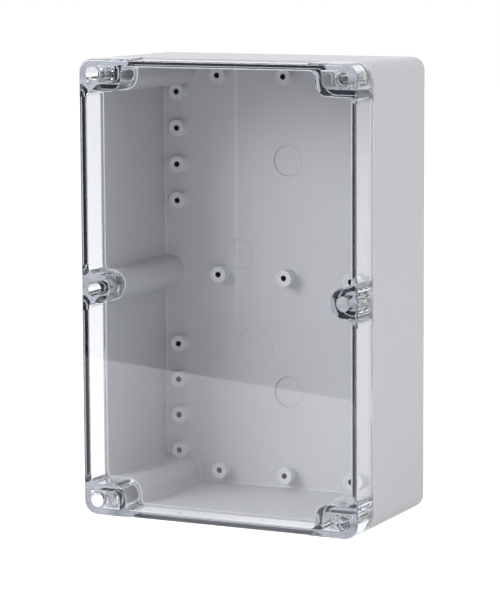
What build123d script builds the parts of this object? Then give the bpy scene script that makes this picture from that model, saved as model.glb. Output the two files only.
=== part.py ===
from build123d import *
import os

os.makedirs("parts", exist_ok=True)

# Sealed wall box with a clear screw-on cover, standing on a short side.
# X runs to the right, Y runs from the cover to the back, Z runs up.
# The origin is in the middle of the underside. Everything is in millimetres.

# The closed box
height = 240.0
width = 158.0
depth = 90.0
cover_depth = 20.5
corner_radius = 7.5

# Wall thicknesses and moulding draft
base_rim_width = 4.2
back_wall = 3.0
cover_plate = 3.0
cover_wall = 3.4
outer_draft = 0.5
inner_draft = 0.2

# Fillets
back_edge_fillet = 3.5
floor_fillet = 1.0
front_edge_fillet = 1.2
plate_fillet = 0.6
well_fillet = 0.6
column_root_fillet = 2.5

# Columns inside the box: one in each corner and one half way up each long side
corner_column_x = 24.6
corner_column_z = 17.2
corner_column_fillet = 8.0
side_column_radius = 8.4

# Cover screws: how far their axes lie from the outer faces, and their sizes
screw_inset = 7.8
screw_head_radius = 3.5
screw_head_height = 2.6
screw_head_fillet = 0.7
screw_shank_radius = 1.5
screw_thread_radius = 1.95
screw_thread_length = 6.3
thread_set_back = 0.2
screw_tip_chamfer = 0.4
recess_length = 4.4
recess_slot = 0.9
recess_depth = 1.4

# The screw bores in the cover
bore_radius = 3.75
bore_depth = 15.5
bore_floor = 2.0
bore_chamfer = 0.3
screw_hole_radius = 2.2
screw_tube_radius = 4.9
tube_corner_fillet = 1.0

# Corner wells of the cover, behind its front plate
well_wall = 3.4
rest_block_x = 17.2
rest_block_z = 11.6
rest_block_fillet = 2.5
rest_block_depth = 6.0
rest_block_roof = 2.2

# Shallow reliefs along the outside of the cover, between the screw positions
relief_depth = 0.5
relief_end_x = 27.0
relief_end_z = 20.0
relief_mid_z = 12.0

# Retaining washers that keep the screws in the cover, and the space that they move in
washer_radius = 2.9
washer_thickness = 1.0
washer_space_radius = 3.2
washer_space_in_base = 4.6
running_clearance = 0.04

# Brass thread inserts in the base
insert_radius = 2.8
insert_length = 8.0
insert_groove_depth = 0.3
insert_groove_width = 1.2
insert_set_back = 0.2
insert_clearance = 0.03
thread_clearance = 0.05
tip_room = 6.0

# Seal: a groove in the base rim, a cord in it and a tongue on the cover
seal_lip = 1.0
groove_width = 2.4
groove_depth = 2.2
gasket_side_clearance = 0.1
gasket_thickness = 1.2
tongue_width = 1.8
tongue_gap = 0.05

# Screw wells for fixing the box to a wall, through the corner columns
fixing_inset_x = 16.0
fixing_inset_z = 8.4
fixing_well_radius = 4.0
fixing_hole_radius = 2.25
fixing_floor = 4.0

# Bosses on the back wall for a mounting plate or boards
boss_radius = 4.5
boss_height = 6.4
boss_draft = 1.0
boss_hole_radius = 1.6
boss_face_radius = 3.3
boss_face_depth = 0.4
boss_pitch = 19.7
side_boss_inset = 15.0
side_boss_rows = (2, 3, 4, 5)
centre_boss_x = 39.4
centre_boss_z = 107.8

# Two shallow round marks that the moulding tool leaves on the back wall
tool_mark_radius = 8.2
tool_mark_depth = 0.4
tool_mark_z = 62.7

# Places along Y that follow from the sizes above
front_y = -depth / 2
seam_y = front_y + cover_depth
back_y = depth / 2
bore_floor_y = front_y + bore_depth
insert_y = seam_y + washer_space_in_base + insert_set_back
thread_start_y = seam_y + washer_space_in_base - thread_set_back

screw_span_x = width - 2 * screw_inset
screw_span_z = height - 2 * screw_inset
tongue_height = groove_depth - gasket_thickness - tongue_gap
groove_centre = seal_lip + groove_width / 2
base_depth = depth - cover_depth
boss_face_y = back_y - back_wall - boss_height


def facing_front(y, x=0, z=0):
    """Plane across the box at y, its normal towards the cover, with z counted from mid height."""
    return Plane(origin=(x, y, height / 2 + z), x_dir=(1, 0, 0), z_dir=(0, -1, 0))


def facing_back(y, x=0, z=0):
    """The same plane with its normal towards the back wall."""
    return Plane(origin=(x, y, height / 2 + z), x_dir=(1, 0, 0), z_dir=(0, 1, 0))


def space_outline(grow):
    """Outline of the sealed space between the walls and the six columns, grown outwards."""
    wall_x = width / 2 - base_rim_width + grow
    wall_z = height / 2 - base_rim_width + grow
    column_x = corner_column_x - grow
    column_z = corner_column_z - grow
    side_radius = side_column_radius - grow
    with BuildSketch() as outline:
        Rectangle(2 * wall_x, 2 * wall_z)
        with GridLocations(width, height, 2, 2):
            RectangleRounded(
                2 * column_x, 2 * column_z, corner_column_fillet - grow, mode=Mode.SUBTRACT
            )
        with GridLocations(width, 0, 2, 1):
            SlotOverall(2 * (screw_inset + side_radius), 2 * side_radius, mode=Mode.SUBTRACT)
        roots = outline.vertices().filter_by(
            lambda v: abs(abs(v.X) - wall_x) < 0.01 or abs(abs(v.Y) - wall_z) < 0.01
        )
        fillet(roots, radius=column_root_fillet + grow)
    return outline.sketch


def corner_outline(reach_x, reach_z, inner_fillet, wall):
    """Four rounded areas in the corners of the box, kept inside a wall of this thickness."""
    with BuildSketch() as corners:
        with GridLocations(width, height, 2, 2):
            RectangleRounded(2 * reach_x, 2 * reach_z, inner_fillet)
        RectangleRounded(
            width - 2 * wall, height - 2 * wall, corner_radius - wall, mode=Mode.INTERSECT
        )
    return corners.sketch


def ring_outline(centre, ring_width):
    """Closed band that runs round the sealed space, its middle this far outside it."""
    outer = space_outline(centre + ring_width / 2)
    inner = space_outline(centre - ring_width / 2)
    with BuildSketch() as ring:
        add(outer)
        add(inner, mode=Mode.SUBTRACT)
    return ring.sketch


def screw_places():
    """Name and place of each cover screw, seen from the front."""
    places = []
    for row, z in (("top", 1), ("middle", 0), ("bottom", -1)):
        for side, x in (("left", -1), ("right", 1)):
            places.append((f"{row}_{side}", x * screw_span_x / 2, z * screw_span_z / 2))
    return places


def fixing_points():
    return GridLocations(width - 2 * fixing_inset_x, height - 2 * fixing_inset_z, 2, 2)


def boss_points():
    points = []
    for x in (-1, 1):
        for row in side_boss_rows:
            for z in (-1, 1):
                points.append((x * (width / 2 - side_boss_inset), z * row * boss_pitch))
    for x in (-1, 0, 1):
        for z in (-1, 0, 1):
            points.append((x * centre_boss_x, z * centre_boss_z))
    return points


screw_points = [(x, z) for name, x, z in screw_places()]
sealed_space = space_outline(0)
cover_space_outline = space_outline(base_rim_width - cover_wall)
groove_outline = ring_outline(groove_centre, groove_width)
gasket_outline = ring_outline(groove_centre, groove_width - 2 * gasket_side_clearance)
tongue_outline = ring_outline(groove_centre, tongue_width)

# Space inside the base, which narrows slightly towards the back wall
with BuildPart() as base_space:
    with BuildSketch(facing_back(seam_y)):
        add(sealed_space)
    extrude(amount=base_depth - back_wall, taper=inner_draft)
    fillet(base_space.edges().group_by(Axis.Y)[-1], radius=floor_fillet)

# Base: a drafted tray with six columns that run its full depth
with BuildPart() as base:
    with BuildSketch(facing_back(seam_y)):
        RectangleRounded(width, height, corner_radius)
    extrude(amount=base_depth, taper=outer_draft)
    fillet(base.edges().group_by(Axis.Y)[-1], radius=back_edge_fillet)
    add(base_space.part, mode=Mode.SUBTRACT)
    # Mounting bosses on the back wall, each with a shallow ring round its hole
    with BuildSketch(facing_front(back_y - back_wall)):
        with Locations(*boss_points()):
            Circle(boss_radius)
    extrude(amount=boss_height, taper=boss_draft)
    with BuildSketch(facing_back(boss_face_y)):
        with Locations(*boss_points()):
            Circle(boss_face_radius)
    extrude(amount=boss_face_depth, mode=Mode.SUBTRACT)
    with BuildSketch(facing_back(boss_face_y)):
        with Locations(*boss_points()):
            Circle(boss_hole_radius)
    extrude(amount=boss_height, mode=Mode.SUBTRACT)
    with BuildSketch(facing_back(back_y - back_wall)):
        with GridLocations(0, 2 * tool_mark_z, 1, 2):
            Circle(tool_mark_radius)
    extrude(amount=tool_mark_depth, mode=Mode.SUBTRACT)
    # Seal groove round the rim
    with BuildSketch(facing_back(seam_y)):
        add(groove_outline)
    extrude(amount=groove_depth, mode=Mode.SUBTRACT)
    # Stepped holes: space for the washers, then the thread inserts, then room for the screw tips
    with BuildSketch(facing_back(seam_y)):
        with Locations(*screw_points):
            Circle(washer_space_radius)
    extrude(amount=washer_space_in_base, mode=Mode.SUBTRACT)
    with BuildSketch(facing_back(seam_y)):
        with Locations(*screw_points):
            Circle(insert_radius + insert_clearance)
    extrude(amount=insert_y + insert_length - seam_y, mode=Mode.SUBTRACT)
    with BuildSketch(facing_back(seam_y)):
        with Locations(*screw_points):
            Circle(screw_hole_radius)
    extrude(amount=insert_y + insert_length + tip_room - seam_y, mode=Mode.SUBTRACT)
    # Wells and holes for fixing the box to a wall
    with BuildSketch(facing_back(seam_y)):
        with fixing_points():
            Circle(fixing_well_radius)
    extrude(amount=base_depth - fixing_floor, mode=Mode.SUBTRACT)
    with BuildSketch(facing_back(seam_y)):
        with fixing_points():
            Circle(fixing_hole_radius)
    extrude(amount=base_depth, mode=Mode.SUBTRACT)

# Space inside the clear cover, with rounded edges against its front plate
with BuildPart() as cover_space:
    with BuildSketch(facing_front(seam_y)):
        add(cover_space_outline)
    extrude(amount=cover_depth - cover_plate)
    fillet(cover_space.edges().group_by(Axis.Y)[0], radius=plate_fillet)

# Hollows of the four corner wells, outside the seal
well_offset = base_rim_width - cover_wall + well_wall
with BuildPart() as cover_wells:
    with BuildSketch(facing_front(seam_y)):
        add(
            corner_outline(
                corner_column_x - well_offset,
                corner_column_z - well_offset,
                corner_column_fillet - well_offset,
                cover_wall,
            )
        )
    extrude(amount=cover_depth - cover_plate)
    fillet(cover_wells.edges().group_by(Axis.Y)[0], radius=well_fillet)

# Cover: a clear hood with six screw positions and a tongue that presses the seal
with BuildPart() as cover:
    with BuildSketch(facing_front(seam_y)):
        RectangleRounded(width, height, corner_radius)
    extrude(amount=cover_depth)
    fillet(cover.edges().group_by(Axis.Y)[0], radius=front_edge_fillet)
    add(cover_space.part, mode=Mode.SUBTRACT)
    add(cover_wells.part, mode=Mode.SUBTRACT)
    # Rest blocks in the corners, lower than the front plate, hollow over the fixing wells
    with BuildSketch(facing_front(seam_y)):
        add(corner_outline(rest_block_x, rest_block_z, rest_block_fillet, cover_wall / 2))
    extrude(amount=cover_depth - rest_block_depth)
    with BuildSketch(facing_front(seam_y)):
        with fixing_points():
            Circle(fixing_well_radius)
    extrude(amount=cover_depth - rest_block_depth - rest_block_roof, mode=Mode.SUBTRACT)
    # Screw tubes, solid towards the outer corners of the cover
    with BuildSketch(facing_front(seam_y)):
        add(corner_outline(screw_inset, screw_inset, tube_corner_fillet, cover_wall / 2))
        with GridLocations(screw_span_x, screw_span_z, 2, 2):
            Circle(screw_tube_radius)
    extrude(amount=cover_depth - cover_plate / 2)
    # Shallow reliefs along the four outer sides
    side_length = (height - 2 * relief_end_z) / 2 - relief_mid_z
    with BuildSketch(facing_front(seam_y)):
        with GridLocations(0, height, 1, 2):
            Rectangle(width - 2 * relief_end_x, 2 * relief_depth)
        with GridLocations(width, side_length + 2 * relief_mid_z, 2, 2):
            Rectangle(2 * relief_depth, side_length)
    extrude(amount=cover_depth, mode=Mode.SUBTRACT)
    # Screw bores: wide for the head, a floor that it bears on, and room for the washer
    with BuildSketch(facing_back(front_y)):
        with Locations(*screw_points):
            Circle(bore_radius)
    extrude(amount=bore_depth, mode=Mode.SUBTRACT)
    bore_rims = cover.edges().filter_by(GeomType.CIRCLE).group_by(Axis.Y)[0].filter_by(
        lambda edge: abs(edge.radius - bore_radius) < 0.01
    )
    chamfer(bore_rims, length=bore_chamfer)
    with BuildSketch(facing_back(front_y)):
        with Locations(*screw_points):
            Circle(screw_hole_radius)
    extrude(amount=cover_depth, mode=Mode.SUBTRACT)
    with BuildSketch(facing_front(seam_y)):
        with Locations(*screw_points):
            Circle(washer_space_radius)
    extrude(amount=cover_depth - bore_depth - bore_floor, mode=Mode.SUBTRACT)
    # Tongue along the seam
    with BuildSketch(facing_back(seam_y)):
        add(tongue_outline)
    extrude(amount=tongue_height)

# Gasket: one closed cord on the floor of the groove
with BuildPart() as gasket:
    with BuildSketch(facing_front(seam_y + groove_depth)):
        add(gasket_outline)
    extrude(amount=gasket_thickness)

base.part.label = "base_shell"
cover.part.label = "clear_cover"
gasket.part.label = "cover_gasket"
for piece in (base, cover, gasket):
    export_step(piece.part, f"parts/{piece.part.label}.step")

for name, x, z in screw_places():
    # Cover screw: a rounded cross-recess head, a thin shank and a threaded end
    with BuildPart() as screw:
        with BuildSketch(facing_front(bore_floor_y, x, z)):
            Circle(screw_head_radius)
        extrude(amount=screw_head_height)
        fillet(screw.edges().group_by(Axis.Y)[0], radius=screw_head_fillet)
        with BuildSketch(facing_back(bore_floor_y - screw_head_height, x, z)):
            Rectangle(recess_length, recess_slot)
            Rectangle(recess_slot, recess_length)
        extrude(amount=recess_depth, mode=Mode.SUBTRACT)
        with BuildSketch(facing_back(bore_floor_y, x, z)):
            Circle(screw_shank_radius)
        extrude(amount=thread_start_y - bore_floor_y)
        with BuildSketch(facing_back(thread_start_y, x, z)):
            Circle(screw_thread_radius)
        extrude(amount=screw_thread_length)
        chamfer(screw.edges().group_by(Axis.Y)[-1], length=screw_tip_chamfer)
    screw.part.label = f"cover_screw_{name}"

    # Retaining washer on the shank, just in front of the thread
    with BuildPart() as washer:
        with BuildSketch(facing_front(thread_start_y, x, z)):
            Circle(washer_radius)
            Circle(screw_shank_radius + running_clearance, mode=Mode.SUBTRACT)
        extrude(amount=washer_thickness)
    washer.part.label = f"retaining_washer_{name}"

    # Thread insert: a brass sleeve with a groove round its middle
    with BuildPart() as insert:
        with BuildSketch(facing_back(insert_y, x, z)):
            Circle(insert_radius)
            Circle(screw_thread_radius + thread_clearance, mode=Mode.SUBTRACT)
        extrude(amount=insert_length)
        with BuildSketch(facing_back(insert_y + (insert_length - insert_groove_width) / 2, x, z)):
            Circle(insert_radius)
            Circle(insert_radius - insert_groove_depth, mode=Mode.SUBTRACT)
        extrude(amount=insert_groove_width, mode=Mode.SUBTRACT)
    insert.part.label = f"thread_insert_{name}"

    for piece in (screw, washer, insert):
        export_step(piece.part, f"parts/{piece.part.label}.step")
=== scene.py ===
# %% [markdown]
# # A clear-cover wall box, dressed in Blender
#
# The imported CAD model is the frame: it fixes where every piece is and what it rides on.
# This lesson gives each piece its material, swaps in finer meshes where the eye comes
# close, and lights the box like a product photograph on white. Blender counts in metres.
# The details of the box are written in millimetres and turned to metres with MM. The
# camera and the studio are written in metres.

# %% Load the frame
import math

import bmesh
import bpy
from mathutils import Matrix, Vector


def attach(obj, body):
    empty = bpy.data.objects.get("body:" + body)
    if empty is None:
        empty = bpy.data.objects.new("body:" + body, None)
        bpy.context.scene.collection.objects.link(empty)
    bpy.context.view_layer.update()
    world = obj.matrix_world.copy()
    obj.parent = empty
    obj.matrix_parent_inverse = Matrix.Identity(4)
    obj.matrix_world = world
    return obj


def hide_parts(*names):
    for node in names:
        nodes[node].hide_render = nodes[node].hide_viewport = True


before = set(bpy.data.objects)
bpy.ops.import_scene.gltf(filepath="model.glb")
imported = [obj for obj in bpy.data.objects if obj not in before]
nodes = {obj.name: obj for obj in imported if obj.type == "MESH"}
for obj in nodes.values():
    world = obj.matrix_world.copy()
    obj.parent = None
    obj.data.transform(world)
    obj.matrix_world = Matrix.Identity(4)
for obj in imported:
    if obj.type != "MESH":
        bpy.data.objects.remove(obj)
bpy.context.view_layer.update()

MM = 0.001

# %% [markdown]
# ## Where the photographer stood
#
# A camera could be placed by eye, but then edges drift apart by a few pixels. This one
# was solved from the box itself: its corners, the six screws and the bosses fix the
# direction, the distance and the lens. The three directions below are the camera's
# right, up and backward, so they stand as the columns of its rotation.

# %% Camera
CAMERA_PLACE = Vector((0.66114, -1.33720, 0.31606))
CAMERA_RIGHT = Vector((0.895979, 0.444063, -0.005391))
CAMERA_UP = Vector((-0.055285, 0.123576, 0.990794))
CAMERA_BACK = Vector((0.440642, -0.887433, 0.135272))
CAMERA_LENS = 171.7
SENSOR_WIDTH = 36.0


def make_camera():
    data = bpy.data.cameras.new("photo_camera")
    data.lens = CAMERA_LENS
    data.sensor_width = SENSOR_WIDTH
    camera = bpy.data.objects.new("photo_camera", data)
    turn = Matrix((CAMERA_RIGHT, CAMERA_UP, CAMERA_BACK)).transposed()
    camera.matrix_world = Matrix.Translation(CAMERA_PLACE) @ turn.to_4x4()
    bpy.context.scene.collection.objects.link(camera)
    bpy.context.scene.camera = camera
    return camera


camera = make_camera()
print("camera", [round(v, 3) for v in camera.matrix_world.translation], "lens", CAMERA_LENS)

# %% [markdown]
# ## Colours and nodes
#
# Colours are read off as sRGB hex, but shaders add light in linear numbers, so one
# function turns one into the other. A second small function adds a node, sets it and
# links it. A material could also be clicked together in the shader editor. Written down,
# it is short enough to read at a glance and can be made again.


# %% Hex to linear light
def colour(hex_code):
    """Linear RGBA of an sRGB hex colour."""
    parts = [int(hex_code[i:i + 2], 16) / 255 for i in (0, 2, 4)]
    linear = [c / 12.92 if c <= 0.04045 else ((c + 0.055) / 1.055) ** 2.4 for c in parts]
    return (*linear, 1.0)


print("sRGB 808080 is", round(colour("808080")[0], 3), "in linear light")


# %% Adding a node
def add_node(tree, kind, inputs=None, **settings):
    """Add a node. Settings are its properties, or its sockets by name. Inputs are its
    sockets by name or number, each with the output that feeds it or a plain value."""
    node = tree.nodes.new(kind)
    for name, value in settings.items():
        if hasattr(node, name):
            setattr(node, name, value)
        else:
            node.inputs[name.replace("_", " ")].default_value = value
    for name, source in (inputs or {}).items():
        if isinstance(source, bpy.types.NodeSocket):
            tree.links.new(source, node.inputs[name])
        else:
            node.inputs[name].default_value = source
    return node


# %% Making and giving a material
def new_material(name):
    """An empty node material and its output node."""
    material = bpy.data.materials.new(name)
    material.use_nodes = True
    material.node_tree.nodes.clear()
    output = material.node_tree.nodes.new("ShaderNodeOutputMaterial")
    return material, material.node_tree, output


def dress(thing, material):
    """Give every slot of an object this material."""
    if not thing.material_slots:
        thing.data.materials.append(material)
    for slot in thing.material_slots:
        slot.material = material


# %% [markdown]
# ## Round marks of the mould
#
# Round inserts in a steel mould leave a thin ring where they meet the rest of it. The
# ring has almost no height, so modelling it would only add slivers to the mesh. Here it
# is drawn by nodes, from the distance to the ring's axis in real millimetres.

# %% Ring on a face
RING_WIDTH = 0.3
# A ring is drawn this near to its face and no further, so no other wall gets it.
RING_REACH = 0.6


def ring_mark(tree, place, centre, radius):
    """1 on a circle round an axis along Y, fading to 0 beside it; sizes in mm."""
    offset = add_node(
        tree, "ShaderNodeVectorMath",
        {0: place.outputs["Object"], 1: Vector(centre) * MM}, operation="SUBTRACT",
    )
    flat = add_node(
        tree, "ShaderNodeVectorMath", {0: offset.outputs[0], 1: (1, 0, 1)},
        operation="MULTIPLY",
    )
    away = add_node(
        tree, "ShaderNodeVectorMath", {0: flat.outputs[0]}, operation="LENGTH",
    )
    beside = add_node(
        tree, "ShaderNodeMath", {0: away.outputs["Value"], 1: radius * MM},
        operation="SUBTRACT",
    )
    distance = add_node(
        tree, "ShaderNodeMath", {0: beside.outputs[0]}, operation="ABSOLUTE",
    )
    return add_node(
        tree, "ShaderNodeMapRange", {"Value": distance.outputs[0]},
        interpolation_type="SMOOTHSTEP", From_Min=0.0, From_Max=RING_WIDTH * MM,
        To_Min=1.0, To_Max=0.0,
    )


# %% Two rings in one face
def mould_marks(tree, place, rings, face_y):
    """1 on two rings of (centre, radius) within reach of the face at this depth; in mm."""
    first, second = (ring_mark(tree, place, *ring) for ring in rings)
    either = add_node(
        tree, "ShaderNodeMath", {0: first.outputs["Result"], 1: second.outputs["Result"]},
        operation="MAXIMUM",
    )
    split = add_node(tree, "ShaderNodeSeparateXYZ", {0: place.outputs["Object"]})
    on_face = add_node(
        tree, "ShaderNodeMath",
        {0: split.outputs["Y"], 1: face_y * MM, 2: RING_REACH * MM}, operation="COMPARE",
    )
    return add_node(
        tree, "ShaderNodeMath", {0: either.outputs[0], 1: on_face.outputs[0]},
        operation="MULTIPLY",
    )


# %% [markdown]
# ## Moulded grey polycarbonate
#
# The base is injection-moulded polycarbonate in light grey. The steel mould is finely
# textured, so the surface is satin: it has no sharp reflection, only a broad sheen. One
# flat colour would look like paper. What tells the eye that it is plastic is the fine
# grain, a faint unevenness of tone and gloss, and soft highlights along the rounded
# edges, so two noises of real size drive these. Two shallow round tool marks in the back
# wall catch a thin dark line.

# %% Grey material
POLYCARBONATE_IOR = 1.585
NOISE_DETAIL = 2.0
GREY_HEX = "CCCDD1"
GREY_DEEP_HEX = "C9CACE"
GREY_ROUGHNESS = (0.36, 0.46)
CLOUD_MM = 35.0
# The mould's real grain is about a tenth of a millimetre and would not show, so it is
# drawn five times coarser.
GRAIN_MM = 0.5
GRAIN_DEPTH = 0.03
GRAIN_STRENGTH = 0.12
TOOL_MARKS = (((0.0, 0.0, 57.3), 8.2), ((0.0, 0.0, 182.7), 8.2))
TOOL_LINE_HEX = "9D9EA2"
BACK_WALL_Y = 42.0


def make_moulded_grey(name, light_hex, deep_hex):
    """Satin moulded plastic whose tone wanders between two close greys."""
    material, tree, output = new_material(name)
    place = add_node(tree, "ShaderNodeTexCoord")
    cloud, grain = (
        add_node(
            tree, "ShaderNodeTexNoise", {"Vector": place.outputs["Object"]},
            Scale=1 / (size * MM), Detail=NOISE_DETAIL,
        )
        for size in (CLOUD_MM, GRAIN_MM)
    )
    gloss = add_node(
        tree, "ShaderNodeMapRange", {"Value": cloud.outputs["Fac"]},
        To_Min=GREY_ROUGHNESS[0], To_Max=GREY_ROUGHNESS[1],
    )
    relief = add_node(
        tree, "ShaderNodeBump", {"Height": grain.outputs["Fac"]},
        Strength=GRAIN_STRENGTH, Distance=GRAIN_DEPTH * MM,
    )
    tone = add_node(
        tree, "ShaderNodeMix",
        {"Factor": cloud.outputs["Fac"], 6: colour(deep_hex), 7: colour(light_hex)},
        data_type="RGBA",
    )
    marks = mould_marks(tree, place, TOOL_MARKS, BACK_WALL_Y)
    lined = add_node(
        tree, "ShaderNodeMix",
        {"Factor": marks.outputs[0], 6: tone.outputs[2], 7: colour(TOOL_LINE_HEX)},
        data_type="RGBA",
    )
    plastic = add_node(
        tree, "ShaderNodeBsdfPrincipled",
        {
            "Base Color": lined.outputs[2],
            "Roughness": gloss.outputs["Result"],
            "Normal": relief.outputs["Normal"],
        },
        IOR=POLYCARBONATE_IOR,
    )
    tree.links.new(plastic.outputs[0], output.inputs["Surface"])
    return material


moulded_grey = make_moulded_grey("moulded_grey_polycarbonate", GREY_HEX, GREY_DEEP_HEX)
print(moulded_grey.name, "with a grain of", GRAIN_MM, "mm")

# %% [markdown]
# ## Clear polycarbonate
#
# The cover is the same plastic without pigment: glass-clear, with a refractive index
# of 1.585 that bends light more than window glass and draws dark lines in every rounded
# corner. A half-transparent surface would be quicker but would lose those lines, so the
# light is really bent. A violet-blue dye hides the plastic's natural yellow; it shows
# only where light has run a long way inside the walls, so it is an absorption and not a
# surface colour. Light rays that look for a lamp pass straight through, so that the
# inside of the box is lit as it is through a window. The mould leaves two faint rings on
# the front plate: one from a round insert and one round the gate where the plastic came
# in.

# %% Clear material
CLEAR_HEX = "FDFDFD"
LAMP_RAY_HEX = "FEFEFE"
# The colour that the dye lets pass, and how strongly it takes out the rest, per metre.
DYE_HEX = "50A6F8"
DYE_DENSITY = 5.0
INSERT_RING = ((22.3, 0.0, 95.5), 10.0)
GATE_RING = ((13.2, 0.0, 142.4), 7.5)
RING_HEX = "C9CCD4"
RING_DEPTH = 0.03
PLATE_FACE_Y = -45.0


def make_clear():
    """Clear plastic that bends what is seen through it and lets lamp light straight in."""
    material, tree, output = new_material("clear_polycarbonate")
    place = add_node(tree, "ShaderNodeTexCoord")
    marks = mould_marks(tree, place, (INSERT_RING, GATE_RING), PLATE_FACE_Y)
    relief = add_node(
        tree, "ShaderNodeBump", {"Height": marks.outputs[0]},
        Strength=1.0, Distance=RING_DEPTH * MM,
    )
    tone = add_node(
        tree, "ShaderNodeMix",
        {"Factor": marks.outputs[0], 6: colour(CLEAR_HEX), 7: colour(RING_HEX)},
        data_type="RGBA",
    )
    clear = add_node(
        tree, "ShaderNodeBsdfPrincipled",
        {"Base Color": tone.outputs[2], "Normal": relief.outputs["Normal"]},
        Roughness=0.0, IOR=POLYCARBONATE_IOR, Transmission_Weight=1.0,
    )
    dye = add_node(
        tree, "ShaderNodeVolumeAbsorption", Color=colour(DYE_HEX), Density=DYE_DENSITY,
    )
    straight = add_node(tree, "ShaderNodeBsdfTransparent", Color=colour(LAMP_RAY_HEX))
    path = add_node(tree, "ShaderNodeLightPath")
    lamp_ray = add_node(
        tree, "ShaderNodeMath",
        {0: path.outputs["Is Shadow Ray"], 1: path.outputs["Is Diffuse Ray"]},
        operation="MAXIMUM",
    )
    mix = add_node(
        tree, "ShaderNodeMixShader",
        {0: lamp_ray.outputs[0], 1: clear.outputs[0], 2: straight.outputs[0]},
    )
    tree.links.new(dye.outputs[0], output.inputs["Volume"])
    tree.links.new(mix.outputs[0], output.inputs["Surface"])
    return material


clear_plastic = make_clear()
print(clear_plastic.name, "bends light by", POLYCARBONATE_IOR)

# %% [markdown]
# ## The clear cover
#
# On the real box it is one clear moulding. It could be modelled anew, but the CAD mesh is
# already exact. That mesh comes in as loose triangles, and refraction needs one closed
# skin with true normals, so a copy is merged while each corner of a triangle keeps the
# direction that the CAD surface has there.

# %% Merged copies
MERGE_WITHIN = 0.002


def merged_copy(node_name, piece_name):
    """A copy of a CAD node with its triangles joined into one skin."""
    mesh = nodes[node_name].data.copy()
    mesh.name = piece_name
    mesh.materials.clear()
    directions = [value for item in mesh.corner_normals for value in item.vector]
    kept = mesh.attributes.new("cad_normal", "FLOAT_VECTOR", "CORNER")
    kept.data.foreach_set("vector", directions)
    skin = bmesh.new()
    skin.from_mesh(mesh)
    bmesh.ops.remove_doubles(skin, verts=skin.verts, dist=MERGE_WITHIN * MM)
    skin.to_mesh(mesh)
    skin.free()
    kept = mesh.attributes["cad_normal"]
    mesh.normals_split_custom_set([tuple(item.vector) for item in kept.data])
    mesh.attributes.remove(kept)
    piece = bpy.data.objects.new(piece_name, mesh)
    bpy.context.scene.collection.objects.link(piece)
    return piece


# %% Cover
def cover_piece():
    piece = merged_copy("clear_cover", "cover_moulding")
    dress(piece, clear_plastic)
    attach(piece, "cover")
    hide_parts("clear_cover")
    return piece


cover = cover_piece()
print("cover faces", len(cover.data.polygons))

# %% [markdown]
# ## The grey base
#
# On the real box the base is one grey moulding with a boss for each screw of a mounting
# plate. The screw holes are deep, and the shade in them makes them read as black dots.
# The bosses look lighter than the wall behind them, because their faces catch more light.
# Dark plugs could be put into the holes, but they would be pieces that the real box
# doesn't have. So the faces of the merged CAD mesh are sorted by their place: those in the
# bores get a painted shade, a dark grey, and those on the bosses a painted light, a
# lighter grey.

# %% Places of the bosses
MIDDLE_Z = 120.0
SIDE_BOSS_X = 64.0
SIDE_BOSS_STEP = 19.7
SIDE_BOSS_ROWS = (-5, -4, -3, -2, 2, 3, 4, 5)
INNER_BOSS_X = 39.4
INNER_BOSS_STEP = 107.8


def boss_axes():
    """Places of the screw holes in the back wall, in mm."""
    for across in (-SIDE_BOSS_X, SIDE_BOSS_X):
        for row in SIDE_BOSS_ROWS:
            yield across, MIDDLE_Z + row * SIDE_BOSS_STEP
    for across in (-INNER_BOSS_X, 0.0, INNER_BOSS_X):
        for row in (-1, 0, 1):
            yield across, MIDDLE_Z + row * INNER_BOSS_STEP


print("bosses", len(list(boss_axes())))

# %% Painted shade in the bores
# Painted shade: the bore walls are coloured dark where the deep holes are in shade.
BORE_SHADE_HEX = "3A3B3E"
BORE_ROUGHNESS = (0.2, 0.35)
BORE_CLOUD_MM = 2.0


def make_bore_painted_shade():
    """Painted shade for the deep bores: the base's grey made dark, with a narrow sheen."""
    material, tree, output = new_material("bore_painted_shade_grey")
    place = add_node(tree, "ShaderNodeTexCoord")
    cloud = add_node(
        tree, "ShaderNodeTexNoise", {"Vector": place.outputs["Object"]},
        Scale=1 / (BORE_CLOUD_MM * MM), Detail=NOISE_DETAIL,
    )
    gloss = add_node(
        tree, "ShaderNodeMapRange", {"Value": cloud.outputs["Fac"]},
        To_Min=BORE_ROUGHNESS[0], To_Max=BORE_ROUGHNESS[1],
    )
    plastic = add_node(
        tree, "ShaderNodeBsdfPrincipled", {"Roughness": gloss.outputs["Result"]},
        Base_Color=colour(BORE_SHADE_HEX), IOR=POLYCARBONATE_IOR,
    )
    tree.links.new(plastic.outputs[0], output.inputs["Surface"])
    return material


# %% Base
BORE_RADIUS = 1.66
BORE_MOUTH_Y = 35.7
BOSS_RADIUS = 4.7
BOSS_DEPTHS = (35.4, 41.5)
# Painted light: the boss faces are a lighter grey where they catch more light than the
# wall.
BOSS_LIT_HEX = "E0E1E5"
BOSS_LIT_DEEP_HEX = "DCDDE1"
WALL_SLOT, BORE_SHADE_SLOT, BOSS_LIT_SLOT = range(3)


def base_piece():
    piece = merged_copy("base_shell", "base_moulding")
    for material in (
        moulded_grey,
        make_bore_painted_shade(),
        make_moulded_grey("moulded_grey_bosses_painted_light", BOSS_LIT_HEX, BOSS_LIT_DEEP_HEX),
    ):
        piece.data.materials.append(material)
    axes = list(boss_axes())
    # Faces in the bores get the painted shade, faces on the bosses the painted light.
    for face in piece.data.polygons:
        x, y, z = face.center / MM
        away = min(math.hypot(x - a, z - b) for a, b in axes)
        if away < BORE_RADIUS and y > BORE_MOUTH_Y:
            face.material_index = BORE_SHADE_SLOT
        elif away < BOSS_RADIUS and BOSS_DEPTHS[0] < y < BOSS_DEPTHS[1]:
            face.material_index = BOSS_LIT_SLOT
        else:
            face.material_index = WALL_SLOT
    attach(piece, "base")
    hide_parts("base_shell")
    return piece


base = base_piece()
kinds = [face.material_index for face in base.data.polygons]
print("base faces", len(kinds))
print("in the bores", kinds.count(BORE_SHADE_SLOT), "on the bosses", kinds.count(BOSS_LIT_SLOT))

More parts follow.
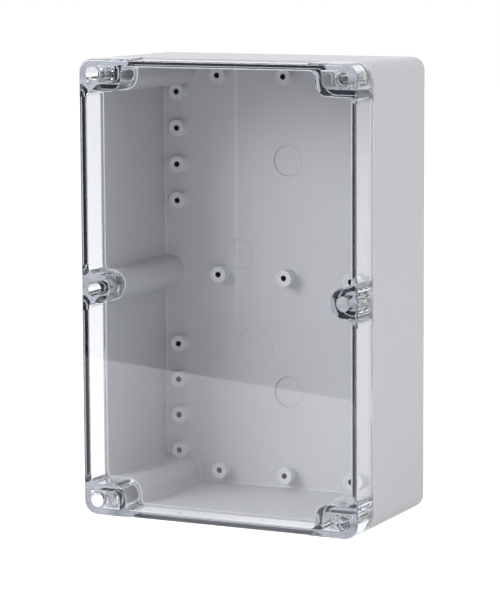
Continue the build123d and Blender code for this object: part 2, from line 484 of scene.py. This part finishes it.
# %% [markdown]
# ## Metals, nylon and silicone
#
# The small parts have four finishes. The screws are zinc-plated steel, a bluish white
# metal with a soft mirror in it. The thread inserts are brass, turned and left bare:
# yellow, with bright edges. The washers are natural nylon, milky and a little waxy. The
# seal is black silicone, matt enough to draw the thin dark line round the rim. Four
# functions could make them, but they differ only in colour, gloss and grain, so one
# function makes all four. Real grain of this kind is under a tenth of a millimetre. It is
# drawn coarser, so that it shows.

# %% Small-part finishes
SMALL_GRAIN_DEPTH = 0.02


def make_small_finish(name, hex_code, metallic, roughness, grain_mm, strength):
    """A plain metal or polymer with a fine grain that breaks up its highlight."""
    material, tree, output = new_material(name)
    place = add_node(tree, "ShaderNodeTexCoord")
    grain = add_node(
        tree, "ShaderNodeTexNoise", {"Vector": place.outputs["Object"]},
        Scale=1 / (grain_mm * MM), Detail=NOISE_DETAIL,
    )
    relief = add_node(
        tree, "ShaderNodeBump", {"Height": grain.outputs["Fac"]},
        Strength=strength, Distance=SMALL_GRAIN_DEPTH * MM,
    )
    finish = add_node(
        tree, "ShaderNodeBsdfPrincipled", {"Normal": relief.outputs["Normal"]},
        Base_Color=colour(hex_code), Metallic=metallic, Roughness=roughness,
    )
    tree.links.new(finish.outputs[0], output.inputs["Surface"])
    return material


steel = make_small_finish("zinc_plated_steel", "B9BBBD", 1.0, 0.28, 0.3, 0.15)
brass = make_small_finish("turned_brass", "C8A35E", 1.0, 0.3, 0.3, 0.15)
nylon = make_small_finish("natural_nylon", "E3E1D8", 0.0, 0.4, 0.4, 0.2)
silicone = make_small_finish("black_silicone", "1E1F22", 0.0, 0.6, 0.3, 0.2)

# %% Dress the CAD nodes
NODE_FINISHES = (
    ("base_shell", moulded_grey), ("clear_cover", clear_plastic), ("cover_screw", steel),
    ("thread_insert", brass), ("retaining_washer", nylon), ("cover_gasket", silicone),
)
for name, thing in nodes.items():
    for start, material in NODE_FINISHES:
        if name.startswith(start):
            dress(thing, material)
print("dressed", len(nodes), "CAD nodes")

# %% [markdown]
# ## The seal
#
# On the real box the seal is a closed cord of silicone laid in the groove of the base,
# and the tongue of the cover presses it. It could be a curve with a round section, but
# the pressed cord fills its groove, so it has flat sides. It has no sharp edge either, so
# the copy of the CAD cord has its long edges rounded.

# %% Shading by angle
def shade_by_angle(piece, angle):
    """Smooth shading that leaves edges sharper than this angle alone."""
    for face in piece.data.polygons:
        face.use_smooth = True
    piece.data.set_sharp_from_angle(angle=angle)


# %% Seal
CORD_ROUNDING = 0.4
CORD_ROUNDING_STEPS = 3
# In radians: the four long edges turn by a right angle, everything else by less.
CORD_EDGE_ANGLE = 1.2
CORD_SMOOTH = math.radians(32)


def seal_piece():
    piece = merged_copy("cover_gasket", "seal_cord")
    skin = bmesh.new()
    skin.from_mesh(piece.data)
    long_edges = [
        edge for edge in skin.edges
        if edge.is_manifold and edge.calc_face_angle() > CORD_EDGE_ANGLE
    ]
    bmesh.ops.bevel(
        skin, geom=long_edges, offset=CORD_ROUNDING * MM, segments=CORD_ROUNDING_STEPS,
        profile=0.5, affect="EDGES", material=-1,
    )
    bmesh.ops.recalc_face_normals(skin, faces=skin.faces)
    skin.to_mesh(piece.data)
    skin.free()
    shade_by_angle(piece, CORD_SMOOTH)
    dress(piece, silicone)
    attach(piece, "base")
    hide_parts("cover_gasket")
    return piece


seal = seal_piece()
print("seal faces", len(seal.data.polygons))

# %% [markdown]
# ## The cover screws
#
# On the real box these are cold-headed M4 screws of zinc-plated steel with a cross recess,
# and a thinner shank that lets them hang captive in the cover. The blank is a profile
# turned about the screw's axis. The recess could be cut with a Boolean; it is sunk as an
# extruded cross instead, with tapering walls as the punch leaves them, because that keeps
# the skin closed. The rolled thread is a ridge that climbs 0.7 mm in each turn, and not a
# bump, because it shows in outline through the clear cover. A pattern screw is made once,
# along +Z with its head up, then laid down and copied to its six places.

# %% Turned blank
TURN_STEPS = 48
HEAD_TOP = 32.1
HEAD_FLOOR = 29.5
HEAD_RADIUS = 3.5
HEAD_ROUND = 0.7
HEAD_ROUND_STEPS = 4
SHANK_RADIUS = 1.5
CORE_RADIUS = 1.6
CORE_SHOULDER = 0.1
THREAD_START = 20.1
TIP = 13.8
TIP_CHAMFER = 0.4


def blank_profile():
    """Radius and height of the blank, from the rim of the head's flat top down, in mm."""
    for step in range(HEAD_ROUND_STEPS + 1):
        turn = math.radians(90 * step / HEAD_ROUND_STEPS)
        yield (
            HEAD_RADIUS - HEAD_ROUND * (1 - math.sin(turn)),
            HEAD_TOP - HEAD_ROUND * (1 - math.cos(turn)),
        )
    yield HEAD_RADIUS, HEAD_FLOOR
    yield SHANK_RADIUS, HEAD_FLOOR
    yield SHANK_RADIUS, THREAD_START
    yield CORE_RADIUS, THREAD_START - CORE_SHOULDER
    yield CORE_RADIUS, TIP + TIP_CHAMFER
    yield CORE_RADIUS - TIP_CHAMFER, TIP
    yield 0.0, TIP


def turn_blank(skin):
    """The profile spun round Z; only the head's flat top is still open."""
    points = [skin.verts.new((r * MM, 0, z * MM)) for r, z in blank_profile()]
    lines = [skin.edges.new(pair) for pair in zip(points, points[1:])]
    bmesh.ops.spin(
        skin, geom=points + lines, cent=(0, 0, 0), axis=(0, 0, 1),
        angle=math.tau, steps=TURN_STEPS, use_merge=True,
    )


print("the screw is", round(HEAD_TOP - TIP, 1), "mm long")

# %% Cross recess
HALF_ARM = 2.3
ARM_WIDTH = 0.9
RECESS_DEPTH = 1.7
RECESS_TAPER = 0.45


def cross_faces(skin):
    """The flat cross in the head's top: a grid of nine faces without its corners."""
    half_arm, half_width = HALF_ARM * MM, ARM_WIDTH * MM / 2
    grid = bmesh.ops.create_grid(skin, x_segments=3, y_segments=3, size=half_arm)
    for vert in grid["verts"]:
        for axis in (0, 1):
            if abs(vert.co[axis]) < half_arm / 2:
                vert.co[axis] = math.copysign(half_width, vert.co[axis])
        vert.co.z = HEAD_TOP * MM
    faces = {face for vert in grid["verts"] for face in vert.link_faces}
    corners = [
        face for face in faces
        if min(abs(face.calc_center_median()[axis]) for axis in (0, 1)) > half_width
    ]
    bmesh.ops.delete(skin, geom=corners, context="FACES")
    return [face for face in faces if face.is_valid]


def sink_recess(skin):
    """The head's flat top with a cross sunk in it."""
    cross = cross_faces(skin)
    outline = {edge for face in cross for edge in face.edges if edge.is_boundary}
    rim = bmesh.ops.create_circle(
        skin, cap_ends=False, segments=TURN_STEPS, radius=(HEAD_RADIUS - HEAD_ROUND) * MM,
        matrix=Matrix.Translation((0, 0, HEAD_TOP * MM)),
    )
    ring = {edge for vert in rim["verts"] for edge in vert.link_edges}
    bmesh.ops.triangle_fill(skin, edges=list(outline | ring), use_beauty=True)
    sunk = bmesh.ops.extrude_face_region(skin, geom=cross)
    bmesh.ops.delete(skin, geom=cross, context="FACES")
    floor = [item for item in sunk["geom"] if isinstance(item, bmesh.types.BMVert)]
    bmesh.ops.scale(skin, vec=(RECESS_TAPER, RECESS_TAPER, 1), verts=floor)
    bmesh.ops.translate(skin, vec=(0, 0, -RECESS_DEPTH * MM), verts=floor)


# %% Rolled thread
THREAD_RADIUS = 1.95
PITCH = 0.7
THREAD_TURNS = 7
STEPS_A_TURN = 24
TIP_MARGIN = 0.3
RIDGE_ROOT = 0.05
RIDGE_HALF_FOOT = 0.3
RIDGE_HALF_CREST = 0.04


def roll_thread(skin):
    """A ridge with sloping sides and a narrow flat crest that climbs round the core."""
    start = TIP + TIP_CHAMFER + TIP_MARGIN
    foot = CORE_RADIUS - RIDGE_ROOT
    section = (
        (foot, -RIDGE_HALF_FOOT), (THREAD_RADIUS, -RIDGE_HALF_CREST),
        (THREAD_RADIUS, RIDGE_HALF_CREST), (foot, RIDGE_HALF_FOOT),
    )
    points = [skin.verts.new((r * MM, 0, (start + z) * MM)) for r, z in section]
    lines = [skin.edges.new((points[i - 1], points[i])) for i in range(len(points))]
    last = bmesh.ops.spin(
        skin, geom=points + lines, cent=(0, 0, 0), axis=(0, 0, 1),
        dvec=(0, 0, PITCH * MM / STEPS_A_TURN), angle=math.tau * THREAD_TURNS,
        steps=THREAD_TURNS * STEPS_A_TURN,
    )["geom_last"]
    for end in (lines, [item for item in last if isinstance(item, bmesh.types.BMEdge)]):
        bmesh.ops.contextual_create(skin, geom=end)


# %% Pattern screw
JOIN_WITHIN = 0.001


def pattern_screw():
    """A screw made head up on the Z axis, then laid down so that its head faces -Y."""
    skin = bmesh.new()
    turn_blank(skin)
    sink_recess(skin)
    bmesh.ops.remove_doubles(skin, verts=skin.verts, dist=JOIN_WITHIN * MM)
    roll_thread(skin)
    bmesh.ops.recalc_face_normals(skin, faces=skin.faces)
    lay = Matrix.Rotation(math.pi / 2, 3, "X")
    bmesh.ops.rotate(skin, cent=(0, 0, 0), matrix=lay, verts=skin.verts)
    return skin


pattern = pattern_screw()
open_edges = sum(not edge.is_manifold for edge in pattern.edges)
print("pattern screw:", len(pattern.faces), "faces,", open_edges, "open edges")

# %% Six screws
SCREW_X = 71.2
SCREW_HEIGHTS = {"top": 232.2, "middle": 120.0, "bottom": 7.8}
SCREW_SMOOTH = math.radians(40)


def screw_piece(row, side):
    name = f"{row}_{side}"
    across = SCREW_X if side == "right" else -SCREW_X
    place = Vector((across, 0, SCREW_HEIGHTS[row])) * MM
    skin = pattern.copy()
    bmesh.ops.translate(skin, vec=place, verts=skin.verts)
    mesh = bpy.data.meshes.new(f"captive_screw_{name}")
    skin.to_mesh(mesh)
    skin.free()
    piece = bpy.data.objects.new(mesh.name, mesh)
    bpy.context.scene.collection.objects.link(piece)
    shade_by_angle(piece, SCREW_SMOOTH)
    dress(piece, steel)
    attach(piece, f"screw_{name}")
    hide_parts(f"cover_screw_{name}")
    return piece


screws = [screw_piece(row, side) for row in SCREW_HEIGHTS for side in ("left", "right")]
pattern.free()
print("screws", [screw.name for screw in screws])

# %% [markdown]
# ## The white table
#
# The photograph was made on a white table that ends in front of the box. The flat front
# plate mirrors that near edge as a sloping line, with the pale table below it. The line
# could be painted on the cover, but it would then stay there when the box turns, so the
# table really ends at that edge. To the camera, and through or in clear plastic, the
# table glows a little by itself and stays white. Light that bounces from it to the box
# meets a plain matt grey. In mirror images its near part is weaker, as it is in a room
# that is dark towards the viewer.

# %% Table top
TABLE_HEX = "C4C4C4"
SEEN_TABLE_HEX = "B0B0B0"
TABLE_GLOW = 0.9
NEAR_TABLE_GLOW = 0.55
NEAR_TABLE_Y = -0.12
WHITE = (1, 1, 1, 1)


def make_table_top():
    material, tree, output = new_material("white_table_top")
    matt = add_node(tree, "ShaderNodeBsdfDiffuse", Color=colour(TABLE_HEX))
    faint = add_node(tree, "ShaderNodeBsdfDiffuse", Color=colour(SEEN_TABLE_HEX))
    path = add_node(tree, "ShaderNodeLightPath")
    place = add_node(tree, "ShaderNodeTexCoord")
    split = add_node(tree, "ShaderNodeSeparateXYZ", {0: place.outputs["Object"]})
    near = add_node(
        tree, "ShaderNodeMapRange", {"Value": split.outputs["Y"]},
        From_Min=NEAR_TABLE_Y, From_Max=0.0, To_Min=NEAR_TABLE_GLOW, To_Max=TABLE_GLOW,
    )
    strength = add_node(
        tree, "ShaderNodeMix",
        {0: path.outputs["Is Glossy Ray"], 2: TABLE_GLOW, 3: near.outputs[0]},
        data_type="FLOAT",
    )
    glow = add_node(
        tree, "ShaderNodeEmission", {"Strength": strength.outputs[0]}, Color=WHITE,
    )
    glowing = add_node(
        tree, "ShaderNodeAddShader", {0: faint.outputs[0], 1: glow.outputs[0]},
    )
    seen_or_mirrored = add_node(
        tree, "ShaderNodeMath",
        {0: path.outputs["Is Camera Ray"], 1: path.outputs["Is Glossy Ray"]},
        operation="MAXIMUM",
    )
    seen = add_node(
        tree, "ShaderNodeMath",
        {0: seen_or_mirrored.outputs[0], 1: path.outputs["Is Transmission Ray"]},
        operation="MAXIMUM",
    )
    mix = add_node(
        tree, "ShaderNodeMixShader",
        {0: seen.outputs[0], 1: matt.outputs[0], 2: glowing.outputs[0]},
    )
    tree.links.new(mix.outputs[0], output.inputs["Surface"])
    return material


# %% Table
TABLE_HALF_WIDTH = 3.0
TABLE_HALF_DEPTH = 2.0
TABLE_TURN = math.radians(19.6)
# A hair below the box, so that the table and its underside don't share a plane.
TABLE_EDGE_POINT = (-0.0987, -0.424, -0.00005)


def make_table():
    """A plane whose near edge runs through the edge point, turned about Z."""
    skin = bmesh.new()
    bmesh.ops.create_grid(skin, x_segments=1, y_segments=1, size=1.0)
    half_sizes = (TABLE_HALF_WIDTH, TABLE_HALF_DEPTH, 1.0)
    bmesh.ops.scale(skin, vec=half_sizes, verts=skin.verts)
    bmesh.ops.translate(skin, vec=(0, TABLE_HALF_DEPTH, 0), verts=skin.verts)
    turn = Matrix.Rotation(TABLE_TURN, 3, "Z")
    bmesh.ops.rotate(skin, cent=(0, 0, 0), matrix=turn, verts=skin.verts)
    bmesh.ops.translate(skin, vec=TABLE_EDGE_POINT, verts=skin.verts)
    mesh = bpy.data.meshes.new("white_table")
    skin.to_mesh(mesh)
    skin.free()
    table = bpy.data.objects.new("white_table", mesh)
    bpy.context.scene.collection.objects.link(table)
    dress(table, make_table_top())
    return table


table = make_table()
print("table", [round(v, 2) for v in table.dimensions])

# %% [markdown]
# ## The room
#
# The room is white behind the box and dark towards the viewer, so that the flat cover
# mirrors almost nothing and the inside of the box stays in view. One narrow bright gap
# between two dark screens stands in the cover as an upright line. A picture of a studio
# could do this; a few nodes that read the direction of a ray do it without a file. The
# grey base gets a level that hardly changes with direction, and the camera sees white.

# %% Bright gap
GAP_SLOPE = 0.5022
GAP_HALF_WIDTH = 0.0006
GAP_STRENGTH = 0.6
GAP_FADES_FROM, GAP_FULL_FROM = -0.17, -0.105


def bright_gap(tree, split):
    """A narrow upright bright line in the dark part of the studio."""
    slope = add_node(
        tree, "ShaderNodeMath", {0: split.outputs["X"], 1: split.outputs["Y"]},
        operation="DIVIDE",
    )
    line = add_node(
        tree, "ShaderNodeMath", {0: slope.outputs[0], 1: GAP_SLOPE, 2: GAP_HALF_WIDTH},
        operation="COMPARE",
    )
    level = add_node(
        tree, "ShaderNodeMapRange", {"Value": split.outputs["Z"]},
        From_Min=GAP_FADES_FROM, From_Max=GAP_FULL_FROM, To_Min=0.0, To_Max=GAP_STRENGTH,
    )
    in_front = add_node(
        tree, "ShaderNodeMath", {0: split.outputs["Y"], 1: 0.0}, operation="LESS_THAN",
    )
    kept = add_node(
        tree, "ShaderNodeMath", {0: line.outputs[0], 1: in_front.outputs[0]},
        operation="MULTIPLY",
    )
    return add_node(
        tree, "ShaderNodeMath", {0: kept.outputs[0], 1: level.outputs[0]},
        operation="MULTIPLY",
    )


# %% World
DARK_ROOM = 0.03
DARK_UNTIL, WHITE_FROM = -0.45, -0.05
AMBIENT_FRONT = 0.46
AMBIENT_BACK = 0.47


def make_world():
    """White for the camera, even for the grey base, dark in front for mirror images."""
    world = bpy.data.worlds.new("studio")
    world.use_nodes = True
    bpy.context.scene.world = world
    tree = world.node_tree
    tree.nodes.clear()
    output = tree.nodes.new("ShaderNodeOutputWorld")
    way = add_node(tree, "ShaderNodeTexCoord")
    split = add_node(tree, "ShaderNodeSeparateXYZ", {0: way.outputs["Generated"]})
    room = add_node(
        tree, "ShaderNodeMapRange", {"Value": split.outputs["Y"]},
        interpolation_type="SMOOTHSTEP", From_Min=DARK_UNTIL, From_Max=WHITE_FROM,
        To_Min=DARK_ROOM, To_Max=1.0,
    )
    gap = bright_gap(tree, split)
    mirrored = add_node(
        tree, "ShaderNodeMath", {0: room.outputs["Result"], 1: gap.outputs[0]},
        operation="ADD",
    )
    path = add_node(tree, "ShaderNodeLightPath")
    ambient = add_node(
        tree, "ShaderNodeMapRange", {"Value": split.outputs["Y"]},
        From_Min=-1.0, From_Max=1.0, To_Min=AMBIENT_FRONT, To_Max=AMBIENT_BACK,
    )
    unseen = add_node(
        tree, "ShaderNodeMix",
        {0: path.outputs["Is Diffuse Ray"], 2: mirrored.outputs[0], 3: ambient.outputs[0]},
        data_type="FLOAT",
    )
    strength = add_node(
        tree, "ShaderNodeMix",
        {0: path.outputs["Is Camera Ray"], 2: unseen.outputs[0], 3: 1.0},
        data_type="FLOAT",
    )
    back = add_node(
        tree, "ShaderNodeBackground", {"Strength": strength.outputs[0]}, Color=WHITE,
    )
    tree.links.new(back.outputs[0], output.inputs["Surface"])
    return world


print("world", make_world().name)

# %% [markdown]
# ## Lamps
#
# One sun-like lamp would give hard shadows and hot spots. Product photographs are lit by
# large soft boxes, so four wide area lamps stand round the box: a strong one at the upper
# left, a weak card at the lower right that opens the shadows, one at the right for the
# outer wall and one above for the top. Their power is kept low enough that a colour
# renders about as it is written.

# %% Softboxes
LAMP_TARGET = Vector((0.0, 0.0, 0.12))
LAMPS = (
    # name, place, width and height in metres, watts
    ("key_softbox", (-1.2, -1.3, 1.0), (1.4, 1.0), 27),
    ("fill_card", (0.7, -1.4, -0.05), (0.8, 0.5), 3),
    ("side_softbox", (1.6, 0.1, 0.6), (1.0, 1.2), 7.2),
    ("top_softbox", (0.0, 0.1, 1.6), (1.2, 0.8), 4.1),
)


def make_lamp(name, place, size, power):
    data = bpy.data.lights.new(name, "AREA")
    data.shape = "RECTANGLE"
    data.size, data.size_y = size
    data.energy = power
    lamp = bpy.data.objects.new(name, data)
    look = (LAMP_TARGET - Vector(place)).to_track_quat("-Z", "Y").to_matrix().to_4x4()
    lamp.matrix_world = Matrix.Translation(place) @ look
    bpy.context.scene.collection.objects.link(lamp)
    return lamp


for lamp in LAMPS:
    print("lamp", make_lamp(*lamp).name)
bpy.context.scene.view_settings.view_transform = "Standard"
